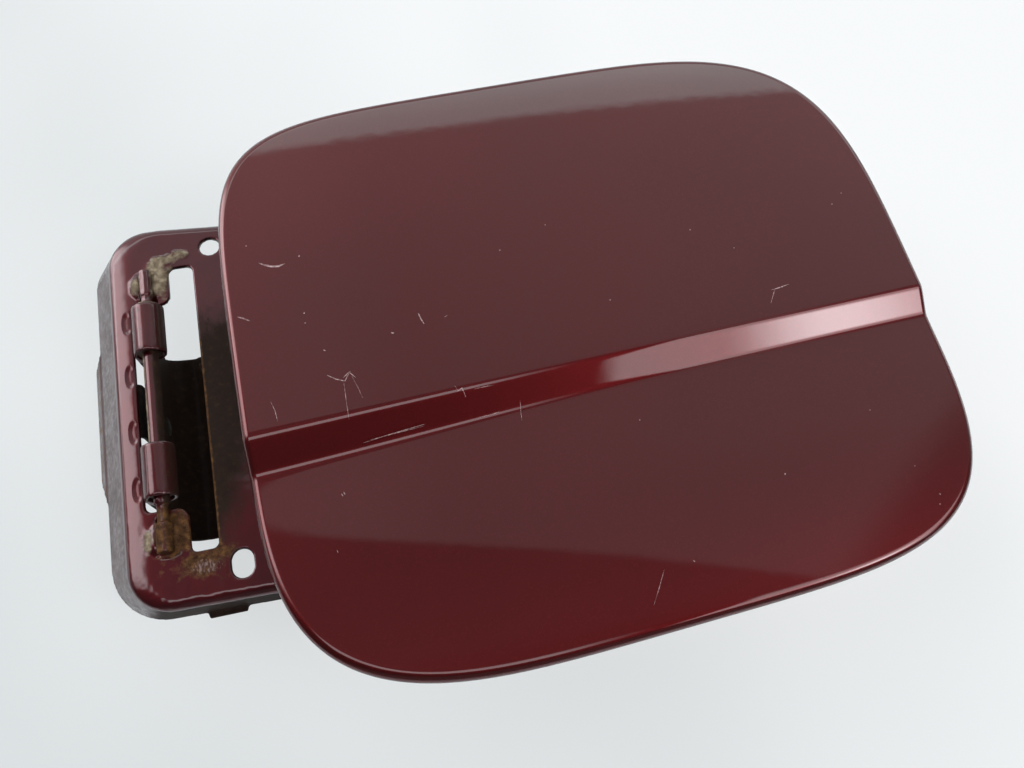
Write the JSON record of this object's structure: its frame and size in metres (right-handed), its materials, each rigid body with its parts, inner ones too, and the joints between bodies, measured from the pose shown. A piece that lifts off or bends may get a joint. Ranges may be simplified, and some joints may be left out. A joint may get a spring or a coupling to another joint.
{
  "type": "car fuel door",
  "caption": "Pressed steel fuel door with a creased painted lid, gooseneck arm, hinge pin and flanged hinge base; the lid swings open on the pin.",
  "frame": {"origin": "midway between the two fixing holes, on the inboard face of the base plate", "axes": "+X from the hinge towards the latch, +Y along the hinge pin, +Z out of the car body"},
  "size_m": [0.2213, 0.1573, 0.0486],
  "materials": {
    "body_paint": "metallic burgundy with clear coat, scratched",
    "inner_paint": "thin overspray without clear coat",
    "arm_paint": "burgundy, dirty inside the bend",
    "bush_steel": "worn, brown at the ends",
    "spring_steel": "blackened",
    "rivet_steel": "dull",
    "striker_zinc": "zinc plated",
    "buffer_rubber": "matt",
    "mastic": "cured bead"
  },
  "bodies": {
    "base": {"hinge_base": "body_paint", "hinge_pin": "body_paint"},
    "door": {"lid_outer_panel": "body_paint", "lid_inner_panel": "inner_paint", "hinge_arm": "arm_paint", "upper_bush": "bush_steel", "lower_bush": "bush_steel", "pop_up_spring": "spring_steel", "upper_spring_rivet": "rivet_steel", "lower_spring_rivet": "rivet_steel", "striker": "striker_zinc", "striker_backing_plate": "striker_zinc", "outer_striker_rivet": "rivet_steel", "inner_striker_rivet": "rivet_steel", "upper_buffer": "buffer_rubber", "lower_buffer": "buffer_rubber", "hinge_top_mastic_pad": "mastic", "hinge_bottom_mastic_pad": "mastic", "latch_top_mastic_pad": "mastic", "latch_bottom_mastic_pad": "mastic"}
  },
  "joints": [
    {"name": "door_hinge", "type": "hinge", "parent": "base", "child": "door", "pos_m": [-0.017, 0, 0.0028], "axis": [0, -1, 0], "range_deg": [0, 80]}
  ]
}
